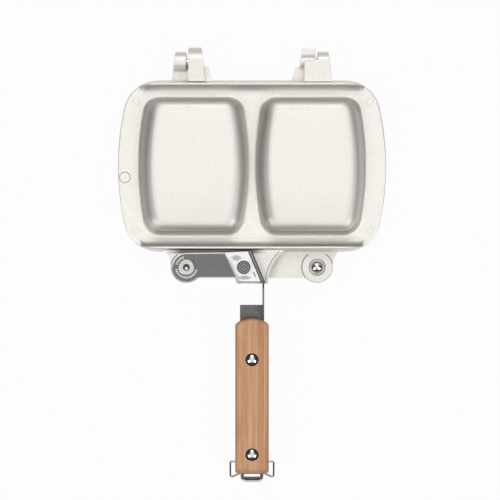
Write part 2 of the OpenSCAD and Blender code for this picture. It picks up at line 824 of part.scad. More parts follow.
// round stubs that turn in the grip, and the bent wire that runs between them
module bail() {
    inner_end = grip_half_w - 4;
    stub_end = bail_half_w - bail_bend_r;
    sides = 12;
    bent_r = wire_r * 0.99;
    half = [
        [inner_end, 0], [bail_half_w, 0], [bail_half_w, -bail_corner], [bail_bar_half, -bail_bar]
    ];
    path = concat(half, [for (i = [3 : -1 : 0]) [-half[i][0], half[i][1]]]);
    places = concat(
        [[stub_end - wire_r, 0, 0]],
        [for (i = [1 : len(path) - 2]) each bend(path[i - 1], path[i], path[i + 1])],
        [[wire_r - stub_end, 0, 0]]
    );
    color("gray") in_frame() translate([0, grip_end_y + bail_in, bail_z]) rotate([bail_slope, 0, 0]) {
        for (side = [-1, 1]) translate([side * (inner_end + stub_end) / 2, 0, 0]) rotate([0, 90, 0])
            cylinder(r = wire_r, h = stub_end - inner_end, center = true);
        skin([for (p = places) [for (i = [0 : sides - 1]) let (b = 360 * i / sides)
            [p[0] - bent_r * cos(b) * sin(p[2]), p[1] + bent_r * cos(b) * cos(p[2]), bent_r * sin(b)]]]);
    }
}

lower_plate();
lower_hinge_pin();
lower_pivot_screw();
lower_pivot_nut();
lower_pivot_washer();
lower_arm();
lower_grip();
lower_grip_rivets();
lower_button_collar();
lower_lock_button();
lower_button_spring();
upper_plate();
upper_hinge_pin();
upper_pivot_screw();
upper_pivot_nut();
upper_pivot_washer();
upper_arm();
upper_grip();
upper_grip_rivets();
upper_button_collar();
upper_lock_button();
upper_button_spring();
bail();
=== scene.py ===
import json
import math
import bmesh
import bpy
from mathutils import Matrix, Vector


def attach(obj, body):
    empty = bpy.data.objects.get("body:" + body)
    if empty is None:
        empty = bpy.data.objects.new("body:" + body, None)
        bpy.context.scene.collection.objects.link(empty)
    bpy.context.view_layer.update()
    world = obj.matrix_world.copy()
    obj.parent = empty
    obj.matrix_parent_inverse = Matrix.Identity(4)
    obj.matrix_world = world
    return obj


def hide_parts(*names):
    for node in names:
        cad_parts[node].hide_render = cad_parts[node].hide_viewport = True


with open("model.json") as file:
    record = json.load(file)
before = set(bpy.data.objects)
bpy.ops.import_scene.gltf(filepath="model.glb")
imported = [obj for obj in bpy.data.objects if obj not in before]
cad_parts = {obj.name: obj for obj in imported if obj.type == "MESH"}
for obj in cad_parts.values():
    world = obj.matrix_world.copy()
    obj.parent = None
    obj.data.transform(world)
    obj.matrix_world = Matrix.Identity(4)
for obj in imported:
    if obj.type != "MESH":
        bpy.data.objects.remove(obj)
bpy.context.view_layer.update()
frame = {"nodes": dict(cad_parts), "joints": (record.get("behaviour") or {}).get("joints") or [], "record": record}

mm = 0.001
mounts = {m["name"]: Vector(m["pos_m"]) for m in frame["record"]["mounts"]}
hinges = {j["name"]: Vector(j["pos_m"]) for j in frame["joints"] if "pos_m" in j}
plateY = mounts["rest_left"].y              # middle of the plates
pocketX = abs(mounts["rest_left"].x)
shutZ = hinges["lid_hinge"].z               # where the two halves meet
upperPivot = hinges["upper_handle_fold"]
lowerPivot = hinges["lower_handle_fold"]
bailPivot = hinges["bail_swing"]
pivots = {"upper": upperPivot, "lower": lowerPivot}
sides = {"upper": 1, "lower": -1}           # which way each half faces
buttonReach = {"upper": 50.0, "lower": 30.2}    # from the pivot along the strap, in millimetres
openEnd = 1000                              # millimetres, past everything


def clearSelection():
    if bpy.context.object and bpy.context.object.mode != "OBJECT":
        bpy.ops.object.mode_set(mode="OBJECT")
    bpy.ops.object.select_all(action="DESELECT")


def pick(obj):
    clearSelection()
    obj.select_set(True)
    bpy.context.view_layer.objects.active = obj


def named(obj, name):
    obj.name = name
    obj.data.name = name
    return obj


def editAll(obj):
    pick(obj)
    bpy.ops.object.mode_set(mode="EDIT")
    bpy.ops.mesh.select_all(action="SELECT")


def doneEditing():
    bpy.ops.object.mode_set(mode="OBJECT")


def faceOut(obj):
    editAll(obj)
    bpy.ops.mesh.remove_doubles(threshold=1e-6)
    bpy.ops.mesh.normals_make_consistent(inside=False)
    doneEditing()
    return obj


def applied(obj, kind, **settings):
    pick(obj)
    mod = obj.modifiers.new(kind.lower(), kind)
    for key, value in settings.items():
        setattr(mod, key, value)
    bpy.ops.object.modifier_apply(modifier=mod.name)
    return obj


def combine(obj, tool, operation):
    applied(obj, "BOOLEAN", object=tool, operation=operation, solver="EXACT")
    bpy.data.objects.remove(tool)
    return obj


def joined(pieces, name):
    pick(pieces[0])
    for piece in pieces[1:]:
        piece.select_set(True)
    bpy.ops.object.join()
    return named(pieces[0], name)


def flatShape(points, z=0.0):
    # a filled outline, started as a disc with as many corners; a point may bring its own height
    clearSelection()
    bpy.ops.mesh.primitive_circle_add(vertices=len(points), radius=0.01, fill_type="NGON")
    obj = bpy.context.object
    for vert, p in zip(obj.data.vertices, points):
        vert.co = p if len(p) == 3 else (p[0], p[1], z)
    return obj


def pulledUp(obj, height):
    editAll(obj)
    bpy.ops.mesh.extrude_region_move(TRANSFORM_OT_translate={"value": (0, 0, height)})
    doneEditing()
    return faceOut(obj)


def slab(points, z0, z1):
    return pulledUp(flatShape(points, z0), z1 - z0)


def lofted(rings):
    # the first ring is a filled outline, and every later ring is an extrusion moved onto its place
    obj = flatShape(rings[0])
    editAll(obj)
    count = len(rings[0])
    order = list(range(count))
    for ring in rings[1:]:
        mesh = bmesh.from_edit_mesh(obj.data)
        mesh.verts.ensure_lookup_table()
        before = [mesh.verts[i].co.copy() for i in order]
        bpy.ops.mesh.extrude_region_move(TRANSFORM_OT_translate={"value": (0, 0, 0)})
        mesh = bmesh.from_edit_mesh(obj.data)
        fresh = {tuple(round(c, 7) for c in v.co): v for v in mesh.verts if v.select}
        raised = [fresh[tuple(round(c, 7) for c in p)] for p in before]
        for vert, p in zip(raised, ring):
            vert.co = p
        mesh.verts.index_update()
        order = [v.index for v in raised]
        bmesh.update_edit_mesh(obj.data)
    doneEditing()
    return faceOut(obj)


def arc(cx, cy, r, start, end, steps):
    angles = [math.radians(start + (end - start) * i / steps) for i in range(steps + 1)]
    return [(cx + r * math.cos(a), cy + r * math.sin(a)) for a in angles]


def at(x, y, z):
    # millimetres from the plates' middle and the parting plane, as a place in the frame
    return (x * mm, y * mm + plateY, z * mm + shutZ)


def lathed(profile, x, y, steps=64):
    # a turned piece: rings of (radius, height) round an upright axis
    ring = arc(0, 0, 1, 0, 360, steps)[:-1]
    return lofted([[at(x + r * c, y + r * s, z) for c, s in ring] for r, z in profile])


def domeProfile(radius, height, z, steps=12, flat=0.15):
    # rings of a domed top, from its rim to a tiny flat at its crown
    ball = (radius * radius + height * height) / (2 * height)
    widest = math.asin(radius / ball)
    rings = []
    for i in range(steps + 1):
        a = widest * (1 - i / (steps + flat))
        rings.append((ball * math.sin(a), z + ball * math.cos(a) - ball + height))
    return rings


def moved(obj, matrix):
    obj.data.transform(matrix)
    obj.data.update()
    return obj


def turnedOver(obj):
    # the lower half is the upper one turned over about the parting plane
    place = Matrix.Translation((0, 0, shutZ))
    return moved(obj, place @ Matrix.Rotation(math.pi, 4, "Y") @ place.inverted())


def copied(obj, name):
    twin = obj.copy()
    twin.data = obj.data.copy()
    bpy.context.scene.collection.objects.link(twin)
    twin.parent = None
    twin.hide_viewport = False
    twin.hide_render = False
    for key in list(twin.keys()):
        del twin[key]
    return named(twin, name)


def nodeCopy(node, name, flatAngle=0.5):
    # a copy of a node of the frame, with its flats made of whole faces
    twin = copied(frame["nodes"][node], name)
    faceOut(twin)
    editAll(twin)
    bpy.ops.mesh.dissolve_limited(angle_limit=math.radians(flatAngle))
    doneEditing()
    return twin


def keepSide(obj, point, normal):
    # cuts away everything on the far side of a plane
    editAll(obj)
    bpy.ops.mesh.bisect(plane_co=point, plane_no=normal, use_fill=True, clear_outer=True)
    doneEditing()
    return obj


def smoothed(obj, angle=35):
    pick(obj)
    bpy.ops.object.shade_smooth_by_angle(angle=math.radians(angle))
    return obj


def softEdges(obj, width, segments=2, angle=30, smooth=35, edgeFinish=-1):
    applied(obj, "BEVEL", width=width, segments=segments, limit_method="ANGLE", material=edgeFinish,
            angle_limit=math.radians(angle), use_clamp_overlap=True, harden_normals=False)
    smoothed(obj, smooth)
    return applied(obj, "WEIGHTED_NORMAL", keep_sharp=True, weight=80)


def placed(obj, body, slotName, finish, *nodes):
    obj.data.materials.clear()
    obj.data.materials.append(finish)
    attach(obj, body)
    if nodes:
        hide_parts(*nodes)
    return obj


class Wire:
    # an output of a node, which works with numbers and other wires in plain sums
    def __init__(self, finish, socket):
        self.finish = finish
        self.socket = socket

    def __add__(self, other):
        return self.finish.worked("ADD", self, other)

    def __radd__(self, other):
        return self.finish.worked("ADD", other, self)

    def __sub__(self, other):
        return self.finish.worked("SUBTRACT", self, other)

    def __rsub__(self, other):
        return self.finish.worked("SUBTRACT", other, self)

    def __mul__(self, other):
        return self.finish.worked("MULTIPLY", self, other)

    def __gt__(self, other):
        return self.finish.worked("GREATER_THAN", self, other)

    def __lt__(self, other):
        return self.finish.worked("LESS_THAN", self, other)

    def __abs__(self):
        return self.finish.worked("ABSOLUTE", self)


class Finish:
    def __init__(self, name):
        self.material = bpy.data.materials.new(name)
        self.material.use_nodes = True
        self.tree = self.material.node_tree
        self.shader = self.tree.nodes["Principled BSDF"]

    def node(self, kind, settings=None, inputs=None, output=0):
        made = self.tree.nodes.new(kind)
        for key, value in (settings or {}).items():
            if key == "stops":
                ramp = made.color_ramp
                while len(ramp.elements) < len(value):
                    ramp.elements.new(0.5)
                for element, (place, colour) in zip(ramp.elements, value):
                    element.position = place
                    element.color = (*colour, 1)
            else:
                setattr(made, key, value)
        for key, value in (inputs or {}).items():
            if isinstance(value, Wire):
                self.tree.links.new(value.socket, made.inputs[key])
            else:
                made.inputs[key].default_value = value
        return Wire(self, made.outputs[output])

    def worked(self, operation, a, b=0.0):
        return self.node("ShaderNodeMath", {"operation": operation}, {0: a, 1: b})

    def place(self, scale=(1, 1, 1)):
        where = self.node("ShaderNodeTexCoord", output="Object")
        return self.node("ShaderNodeMapping", {}, {"Vector": where, "Scale": scale})

    def noise(self, vector, scale, detail=2.0, rough=0.5):
        return self.node("ShaderNodeTexNoise", {}, {"Vector": vector, "Scale": scale, "Detail": detail,
                                                    "Roughness": rough})

    def axes(self):
        where = self.node("ShaderNodeTexCoord", output="Object")
        return [self.node("ShaderNodeSeparateXYZ", {}, {0: where}, output=axis) for axis in "XYZ"]

    def distance(self, a, b):
        # length of the flat vector (a, b)
        return self.worked("SQRT", a * a + b * b)

    def band(self, value, low, high, soft):
        # 1 between low and high, falling off over soft
        up = self.node("ShaderNodeMapRange", {}, {0: value, 1: low - soft, 2: low, 3: 0.0, 4: 1.0})
        down = self.node("ShaderNodeMapRange", {}, {0: value, 1: high, 2: high + soft, 3: 1.0, 4: 0.0})
        return up * down

    def blend(self, factor, a, b, mode="MIX"):
        return self.node("ShaderNodeMix", {"data_type": "RGBA", "blend_type": mode},
                         {0: factor, 6: a, 7: b}, output=2)

    def ramp(self, factor, stops):
        return self.node("ShaderNodeValToRGB", {"stops": stops}, {0: factor})

    def bump(self, height, strength, distance):
        return self.node("ShaderNodeBump", {}, {"Height": height, "Strength": strength, "Distance": distance})

    def set(self, **inputs):
        for key, value in inputs.items():
            socket = self.shader.inputs[key.replace("_", " ")]
            if isinstance(value, Wire):
                self.tree.links.new(value.socket, socket)
            else:
                socket.default_value = value
        return self.material

    def finished(self, values, colour, dulling, relief, metallic=None):
        # dulling is what comes on top of the roughness
        metallic = values.get("metallic", 0.0) if metallic is None else metallic
        return self.set(Base_Color=colour, Metallic=metallic, Roughness=dulling + values["roughness"],
                        Normal=self.bump(relief, values["bump"], values["bumpDepth"]))


# the slope and crease colours are painted shade, and the mark colour is the mould's marks
castValues = {"light": (0.90, 0.87, 0.83, 1), "dark": (0.85, 0.82, 0.78, 1), "slope": (0.42, 0.40, 0.38, 1),
              "creaseShade": (0.10, 0.09, 0.085, 1), "mark": (0.30, 0.27, 0.25, 1), "markShare": 0.85,
              "markDip": 3.0, "clouds": 9, "grain": 1500, "pits": 600, "pitShare": 0.6, "blast": 930,
              "blastShare": 0.8, "blastTones": [(0.3, (0.84, 0.84, 0.84)), (0.62, (1.0, 1.0, 1.0))],
              "metallic": 1.0, "roughness": 0.50, "cloudRough": 0.10, "grainRough": 0.04, "bump": 0.35,
              "bumpDepth": 0.00006}

# millimetres from the plates' middle: x, y and radius
castMarks = {"ejector": (102.2, 56.4, 3.0), "ejectorShift": 0.9, "ejectorShare": 0.35,
             "gate": (-111.3, -10.0, 4.4), "line": 0.26}
tongueCurve = (49.6, -102.9, 35.6)

# stretches of the casting in millimetres: what each one follows, its two ends and how softly they fade
castBands = {
    "front": ("y", -openEnd, -53, 9), "back": ("y", 53, openEnd, 9),
    "besideRise": ("height", -openEnd, 19.2, 0.4), "behindRise": ("height", -openEnd, 14.5, 5.1),
    "frontRise": ("height", -openEnd, 13.2, 1.4), "frontFold": ("height", 12.8, 13.9, 1),
    "aboveFoot": ("height", 5.7, openEnd, 1.1), "pockets": ("away", -openEnd, 62, 0.5),
    "valley": ("away", 69.4, openEnd, 5), "valleyFoot": ("away", 62.8, openEnd, 0.4),
    "insideRim": ("away", -openEnd, 70.2, 0.2), "rimLength": ("across", -openEnd, 94, 7),
    "frontValley": ("y", -openEnd, -60, 2),
    "topFlat": ("height", 19, openEnd, 1), "topFade": ("y", -openEnd, -58, 33),
    "topBend": ("height", 17, openEnd, 2), "topFront": ("y", -62, -52, 3.5),
    "lugs": ("y", -openEnd, -75.5, 0.5), "hooks": ("y", 75.5, openEnd, 0.5),
    "stripEdge": ("pastTongue", 2.3, 2.65, 0.2), "strip": ("pastTongue", 0, 2.3, 0.2),
    "tongueFront": ("y", -openEnd, -75, 0.3), "tongueWidth": ("across", -openEnd, tongueCurve[0], 0.1),
    "boss": ("fromPivot", 13.3, 13.9, 0.2), "bossFront": ("pastPivot", -openEnd, 11, 0.5),
    "recessEdge": ("fromPivot", 7.2, 7.5, 0.2), "recess": ("fromPivot", -openEnd, 7.2, 0.2),
    "underStrap": ("y", -76.4, -72.7, 0.25), "strapLength": ("alongStrap", -62, 0, 13),
    "strapRise": ("height", 3.6, 10.6, 0.4)}

# how far each stretch goes from the bright cast towards the slope or crease colour, both of them painted shade
castShares = {"side": 0.4, "leftSide": 0.42, "behind": 0.68, "front": 0.7, "frontFold": 0.25, "valley": 0.45,
              "valleyFoot": 0.3, "frontValley": 0.3, "top": 0.14, "topFront": 0.16, "lugs": 0.17,
              "hooks": 0.07, "stripEdge": 0.8, "strip": 0.1, "boss": 0.85, "recessEdge": 0.45,
              "recess": 0.2, "underStrap": 0.9}


def castMasks(made, side):
    # every stretch of the casting as a mask
    x, y, z = made.axes()
    fromMiddle = y - plateY
    pivotX, pivotY = upperPivot.x * side, upperPivot.y - plateY
    curveX, curveY, curveR = (v * mm for v in tongueCurve)
    follows = {"alongStrap": x * side, "across": abs(x), "y": fromMiddle, "away": abs(fromMiddle),
               "height": abs(z - shutZ), "pastPivot": fromMiddle - pivotY,
               "fromPivot": made.distance(x - pivotX, fromMiddle - pivotY),
               "pastTongue": made.distance(abs(x) - curveX, fromMiddle - curveY) - curveR}
    masks = {}
    for name, (followed, low, high, soft) in castBands.items():
        masks[name] = made.band(follows[followed], low * mm, high * mm, soft * mm)
    return masks


def castRings(made, side):
    # round ejector marks near the corners, and the larger mark of the gate at one edge
    x, y, z = made.axes()
    fromMiddle = y - plateY
    markX, markY, markR = (v * mm for v in castMarks["ejector"])
    gateX, gateY, gateR = (v * mm for v in castMarks["gate"])
    line = castMarks["line"] * mm
    shifted = x - castMarks["ejectorShift"] * mm * side
    ejectors = made.distance(abs(shifted) - markX, abs(fromMiddle) - markY)
    gate = made.distance(x - gateX * side, fromMiddle - gateY)
    ejectors = made.band(ejectors, markR, markR + line, line) * castMarks["ejectorShare"]
    return ejectors + made.band(gate, gateR, gateR + line * 2, line)


def castSlopeShade(made, mask):
    # painted shade: the drafted sides are darker than the flats, each wall by its own share and the left walls
    # more, with painted shade in the rim's hollows, on the pocket tops towards the front and on the lugs and hinge
    # ends
    share = castShares
    x, y, z = made.axes()
    left = (x * (abs(x) - pocketX)) < 0
    beside = (1 - mask["front"] - mask["back"]) * mask["besideRise"]
    beside = beside * (left * share["leftSide"] + share["side"])
    behind = mask["back"] * mask["behindRise"] * share["behind"]
    before = mask["front"] * (mask["frontRise"] * share["front"] + mask["frontFold"] * share["frontFold"])
    walls = (beside + behind + before) * mask["aboveFoot"] * mask["pockets"]
    valley = mask["valley"] + mask["valleyFoot"] * share["valleyFoot"]
    valley = valley * mask["insideRim"] * mask["rimLength"]
    valley = valley * (mask["frontValley"] * share["frontValley"] + share["valley"])
    tops = mask["topFlat"] * mask["topFade"] * share["top"]
    tops = tops + mask["topBend"] * mask["topFront"] * share["topFront"]
    return walls + valley + tops + mask["lugs"] * share["lugs"] + mask["hooks"] * share["hooks"]


def castCreaseShade(mask):
    # painted shade round the tongue's edge strip, the pivot's boss and recess, and a painted shadow behind the
    # strap
    share = castShares
    tongue = mask["stripEdge"] * share["stripEdge"] + mask["strip"] * share["strip"]
    tongue = tongue * mask["tongueFront"] * mask["tongueWidth"]
    boss = mask["boss"] * mask["bossFront"] * share["boss"]
    recess = mask["recessEdge"] * share["recessEdge"] + mask["recess"] * share["recess"]
    strap = mask["underStrap"] * mask["strapLength"] * mask["strapRise"] * share["underStrap"]
    return tongue + boss + recess + strap


def castFinish(name, values, side):
    # blasted casting with painted shade on its slopes and in its creases, and the marks of its mould
    made = Finish(name)
    where = made.place()
    clouds = made.noise(where, values["clouds"], detail=3)
    grain = made.noise(where, values["grain"], rough=0.6)
    pits = made.noise(where, values["pits"], detail=1)
    blasted = made.ramp(made.noise(where, values["blast"], rough=0.7), values["blastTones"])
    mask = castMasks(made, side)
    rings = castRings(made, side)
    colour = made.blend(clouds, values["dark"], values["light"])
    colour = made.blend(values["blastShare"], colour, blasted, "MULTIPLY")
    # painted shade on the slopes, then in the creases
    colour = made.blend(castSlopeShade(made, mask), colour, values["slope"])
    colour = made.blend(castCreaseShade(mask), colour, values["creaseShade"])
    colour = made.blend(rings * values["markShare"], colour, values["mark"])
    dulling = clouds * values["cloudRough"] + grain * values["grainRough"]
    relief = grain + pits * values["pitShare"] - rings * values["markDip"]
    return made.finished(values, colour, dulling, relief)


castFinishes = {half: castFinish(half + "Cast", castValues, side) for half, side in sides.items()}

coatValues = {"light": (0.115, 0.112, 0.108, 1), "dark": (0.085, 0.083, 0.08, 1), "clouds": 14, "grain": 1800,
              "roughness": 0.42, "cloudRough": 0.08, "bump": 0.3, "bumpDepth": 0.00004}


def coatFinish(name, values):
    # the dark release coat inside the pockets
    made = Finish(name)
    where = made.place()
    clouds = made.noise(where, values["clouds"], detail=3)
    grain = made.noise(where, values["grain"], rough=0.6)
    colour = made.blend(clouds, values["dark"], values["light"])
    return made.finished(values, colour, clouds * values["cloudRough"], grain)


brushedValues = {"dark": (0.115, 0.112, 0.11), "light": (0.235, 0.23, 0.225), "darkStop": 0.32,
                 "lightStop": 0.68, "across": 2600, "along": 420, "specks": 1100, "metallic": 0.75,
                 "roughness": 0.42, "lineRough": 0.14, "bump": 0.25, "bumpDepth": 0.00003}


def brushedTone(made, values, along):
    # the brushing's lines, and their tone
    scale = [values["across"]] * 3
    scale["xyz".index(along)] = values["along"]
    lines = made.noise(made.place(scale), 1.0, detail=4, rough=0.65)
    specks = made.noise(made.place(), values["specks"], rough=0.6)
    return lines, made.ramp(lines * 0.5 + specks * 0.5, [(values["darkStop"], values["dark"]),
                                                         (values["lightStop"], values["light"])])


def brushedFinish(name, values, along, shade):
    made = Finish(name)
    lines, tone = brushedTone(made, values, along)
    tone = made.blend(1.0, tone, (shade, shade, shade, 1), "MULTIPLY")
    return made.finished(values, tone, lines * values["lineRough"], lines)


brushedTang = brushedFinish("brushedTang", brushedValues, "y", 0.8)
webValues = dict(brushedValues, metallic=0.25, roughness=0.6)
brushedWeb = brushedFinish("brushedWeb", webValues, "y", 0.75)

# radii and places in millimetres from the pivot; the ticks' stretches are shares of a turn
tickValues = {"inner": 8.0, "outer": 9.8, "soft": 0.15, "count": 34, "width": 0.48, "endSoft": 0.004,
              "stretches": ((0.02, 0.47), (0.78, 0.95)), "colour": (0.84, 0.83, 0.81, 1), "paint": 0.7}
# the arris values place a painted highlight along the strap's back edge
arrisHighlightValues = {"inner": 11.75, "outer": 13.5, "soft": 0.2, "start": 0.1, "endFade": 6, "rise": 0.012,
               "endLean": 0.4, "share": 0.9}
shadeLine = {"y": (-9.6, -8.5, 0.25), "x": (10, openEnd, 1.5), "share": 0.6, "colour": (0.03, 0.03, 0.03, 1)}


def tickMask(made, dx, dy):
    # plain tick marks in a broken ring round the screw
    values = tickValues
    ring = made.band(made.distance(dx, dy), values["inner"] * mm, values["outer"] * mm, values["soft"] * mm)
    angle = made.worked("ARCTAN2", dy, dx) * (1 / (2 * math.pi)) + 0.5
    tick = made.worked("FRACT", angle * values["count"]) < values["width"]
    return ring * tick * sum(made.band(angle, *ends, values["endSoft"]) for ends in values["stretches"])


def arrisHighlightMask(made, dx, dy):
    # a painted highlight along the strap's back edge, straight and then round the strap's end
    values = arrisHighlightValues
    inner, outer, soft, start = (values[key] * mm for key in ("inner", "outer", "soft", "start"))
    straight = made.band(dy - dx * values["rise"], inner, outer, soft)
    straight = straight * made.band(dx, 0, openEnd * mm, start)
    curved = made.band(made.distance(dx, dy), inner, outer, soft)
    curved = curved * made.band(dx, -openEnd * mm, 0, start)
    curved = curved * made.band(dy + dx * values["endLean"], 0, openEnd * mm, values["endFade"] * mm)
    return (straight + curved) * values["share"]


def strapFinish(name, pivot, side):
    # brushed strap with tick marks, a painted highlight along its back edge and a painted shadow along its front
    # edge
    made = Finish(name)
    lines, tone = brushedTone(made, brushedValues, "x")
    x, y, z = made.axes()
    dx, dy = (x - pivot.x) * side, y - pivot.y
    mask = tickMask(made, dx, dy) + arrisHighlightMask(made, dx, dy)
    # a painted shadow along the strap's front edge
    nearShade = made.band(dy, *(v * mm for v in shadeLine["y"])) * made.band(dx, *(v * mm for v in shadeLine["x"]))
    colour = made.blend(nearShade * shadeLine["share"], tone, shadeLine["colour"])
    # the ticks' printed colour, also used for the painted highlight along the back edge
    colour = made.blend(mask, colour, tickValues["colour"])
    return made.finished(brushedValues, colour, lines * brushedValues["lineRough"], lines,
                         metallic=brushedValues["metallic"] - mask * tickValues["paint"])


strapFinishes = {half: strapFinish(half + "Strap", pivots[half], side) for half, side in sides.items()}

brightValues = {"swirl": 260, "lines": (3000, 60, 3000), "shade": 0.93, "swirlRough": 0.05, "lineRough": 0.05,
                "bump": 0.05, "bumpDepth": 0.00003}


def brightFinish(name, tone, roughness, metallic=1.0):
    # steel from mirror bright to satin
    made = Finish(name)
    values = dict(brightValues, roughness=roughness, metallic=metallic)
    swirl = made.noise(made.place(), values["swirl"], detail=3, rough=0.6)
    fine = made.noise(made.place(values["lines"]), 1.0)
    colour = made.blend(swirl, (*(c * values["shade"] for c in tone), 1), (*tone, 1))
    return made.finished(values, colour, swirl * values["swirlRough"] + fine * values["lineRough"], swirl)


domeSteel = brightFinish("domeSteel", (0.8, 0.8, 0.8), 0.04)
satinSteel = brightFinish("satinSteel", (0.63, 0.62, 0.6), 0.34, metallic=0.7)
edgeSteel = brightFinish("edgeSteel", (0.9, 0.9, 0.9), 0.25, metallic=0.6)
endSteel = brightFinish("endSteel", (0.66, 0.65, 0.64), 0.12)
wireSteel = brightFinish("wireSteel", (0.42, 0.415, 0.41), 0.22)

# millimetres from the plates' middle; three numbers are a stretch's two ends and how softly it fades
rampValues = {"colour": (0.93, 0.93, 0.925, 1), "shade": (0.30, 0.30, 0.30, 1), "dark": (0.05, 0.05, 0.05, 1),
              "middle": (0.25, 0.248, 0.245, 1), "fold": (-3.3, 2.0, 0.25),
              "foldLines": ((-3.3, -2.6, 0.2), (-0.9, 0.3, 0.2)), "slot": (2.2, -94.8),
              "slotLong": (-openEnd, 2.2, 0.2), "slotWide": (-openEnd, 0.35, 0.2),
              "foot": (-openEnd, -101.0, 0.2), "footShare": 0.8,
              "darkPatches": ((-13.7, -80.5, 5.0, 2.8), (-6.3, -97.6, 6.0, 2.0), (-8.5, -83.0, 2.5, 1.2)),
              "patchEdge": (-openEnd, 1.15, 0.5), "cloud": 420, "cloudReach": 1.2, "patchShare": 0.7,
              "nearTop": (-23.9, -75.7), "nearFoot": (-11.9, -101.6), "nearEdge": (-1, 0.6, 2.4),
              "nearFront": (-120, -83, 4), "nearShare": 0.8, "lines": (60, 2800, 2800), "metallic": 0.85,
              "roughness": 0.22, "lineRough": 0.06, "bump": 0.1, "bumpDepth": 0.00002}


def rampPatches(made, px, py):
    # three darker patches, and painted shade in a stretch beside the front edge
    values = rampValues
    cloud = made.noise(made.place(), values["cloud"], detail=3, rough=0.6) * values["cloudReach"]
    patch = 0.0
    for centreX, centreY, wide, high in values["darkPatches"]:
        away = made.distance((px - centreX) * (1 / wide), (py - centreY) * (1 / high))
        patch = made.band(away + cloud, *values["patchEdge"]) + patch
    nearTop, nearFoot = Vector(values["nearTop"]), Vector(values["nearFoot"])
    run = (nearFoot - nearTop).normalized()
    pastNear = (py - nearTop.y) * run.x - (px - nearTop.x) * run.y
    nearShade = made.band(pastNear, *values["nearEdge"]) * made.band(py, *values["nearFront"])
    return patch + nearShade * values["nearShare"]


def rampFinish(name, foldTop, foldFoot, side):
    # polished ramp with painted shade where it folds down and a painted shadow along its foot, with a short
    # punched mark
    made = Finish(name)
    values = rampValues
    x, y, z = made.axes()
    px, py = x * (side / mm), (y - plateY) * (1 / mm)
    run = (Vector(foldFoot) - Vector(foldTop)).normalized()
    across = Vector((-run.y, run.x))
    inFold = (px - foldTop[0]) * across.x + (py - foldTop[1]) * across.y
    slotX, slotY = values["slot"]
    along = abs((px - slotX) * run.x + (py - slotY) * run.y)
    beside = abs((px - slotX) * across.x + (py - slotY) * across.y)
    slot = made.band(along, *values["slotLong"]) * made.band(beside, *values["slotWide"])
    colour = made.blend(rampPatches(made, px, py) * values["patchShare"], values["colour"], values["shade"])
    # painted shade along the fold, darkest in two lines
    colour = made.blend(made.band(inFold, *values["fold"]), colour, values["middle"])
    colour = made.blend(sum(made.band(inFold, *line) for line in values["foldLines"]), colour, values["dark"])
    colour = made.blend(slot, colour, values["dark"])
    # a painted shadow along the ramp's foot
    colour = made.blend(made.band(py, *values["foot"]) * values["footShare"], colour, values["dark"])
    fine = made.noise(made.place(values["lines"]), 1.0)
    return made.finished(values, colour, fine * values["lineRough"], fine)


# the bands are rings: inner and outer radius in millimetres, and share
buttonValues = {"dark": (0.065, 0.065, 0.065, 1), "light": (0.15, 0.147, 0.143, 1),
                "ring": (0.62, 0.62, 0.60, 1), "bandSoft": 0.15,
                "bands": ((-1, 0.9, 0.35), (2.2, 2.7, 0.55), (4.0, 4.5, 0.45)), "specks": 900,
                "metallic": 0.6, "roughness": 0.38, "speckRough": 0.1, "bump": 0.2, "bumpDepth": 0.00005}
# the socket's dark colours are painted shade, and its bright middle is a painted highlight
socketValues = dict(buttonValues, dark=(0.04, 0.04, 0.04, 1), light=(0.12, 0.12, 0.12, 1),
                    ring=(0.9, 0.9, 0.88, 1), bands=((-1, 1.2, 1.0),))
socketSpot = 1 * mm         # the socket's painted highlight stands this far in front of its middle


def turnedFinish(name, values, x, y):
    # dull steel with brighter rings round one axis
    made = Finish(name)
    specks = made.noise(made.place(), values["specks"], detail=3, rough=0.6)
    colour = made.blend(specks, values["dark"], values["light"])
    px, py, pz = made.axes()
    away = made.distance(px - x, py - y)
    for inner, outer, share in values["bands"]:
        ring = made.band(away, inner * mm, outer * mm, values["bandSoft"] * mm)
        colour = made.blend(ring * share, colour, values["ring"])
    return made.finished(values, colour, specks * values["speckRough"], specks)


buttonFinishes, socketFinishes = {}, {}
for half, pivot in pivots.items():
    buttonX = pivot.x + sides[half] * buttonReach[half] * mm
    buttonFinishes[half] = turnedFinish(half + "Button", buttonValues, buttonX, pivot.y)
    socketFinishes[half] = turnedFinish(half + "Socket", socketValues, pivot.x, pivot.y - socketSpot)

bambooValues = {"strip": 4.6, "lean": 0.35, "wander": 0.6, "wanderScale": (0, 9, 0),
                "tones": [(0.0, (0.555, 0.293, 0.152)), (0.45, (0.605, 0.331, 0.18)),
                          (1.0, (0.655, 0.37, 0.209))],
                "seam": (0.22, 0.11, 0.05, 1), "seamEdge": 0.482, "seamShare": 0.45, "seamDip": 0.5,
                "roughness": 0.46, "fibreRough": 0.15, "bump": 0.3, "bumpDepth": 0.00008}
bambooLayers = [
    {"name": "fibre", "scale": (2400, 26, 2400), "detail": 3, "rough": 0.7, "share": 0.75,
     "tones": [(0.35, (0.72, 0.66, 0.60)), (0.62, (1.0, 1.0, 1.0))]},
    {"name": "bands", "scale": (850, 9, 850), "detail": 4, "rough": 0.6, "share": 0.8,
     "tones": [(0.32, (0.78, 0.70, 0.62)), (0.5, (0.96, 0.95, 0.93)), (0.68, (1.06, 1.06, 1.04))]},
    {"name": "blotches", "scale": (150, 26, 150), "detail": 3, "rough": 0.6, "share": 0.8,
     "tones": [(0.5, (1.0, 1.0, 1.0)), (0.72, (0.80, 0.72, 0.66))]},
]


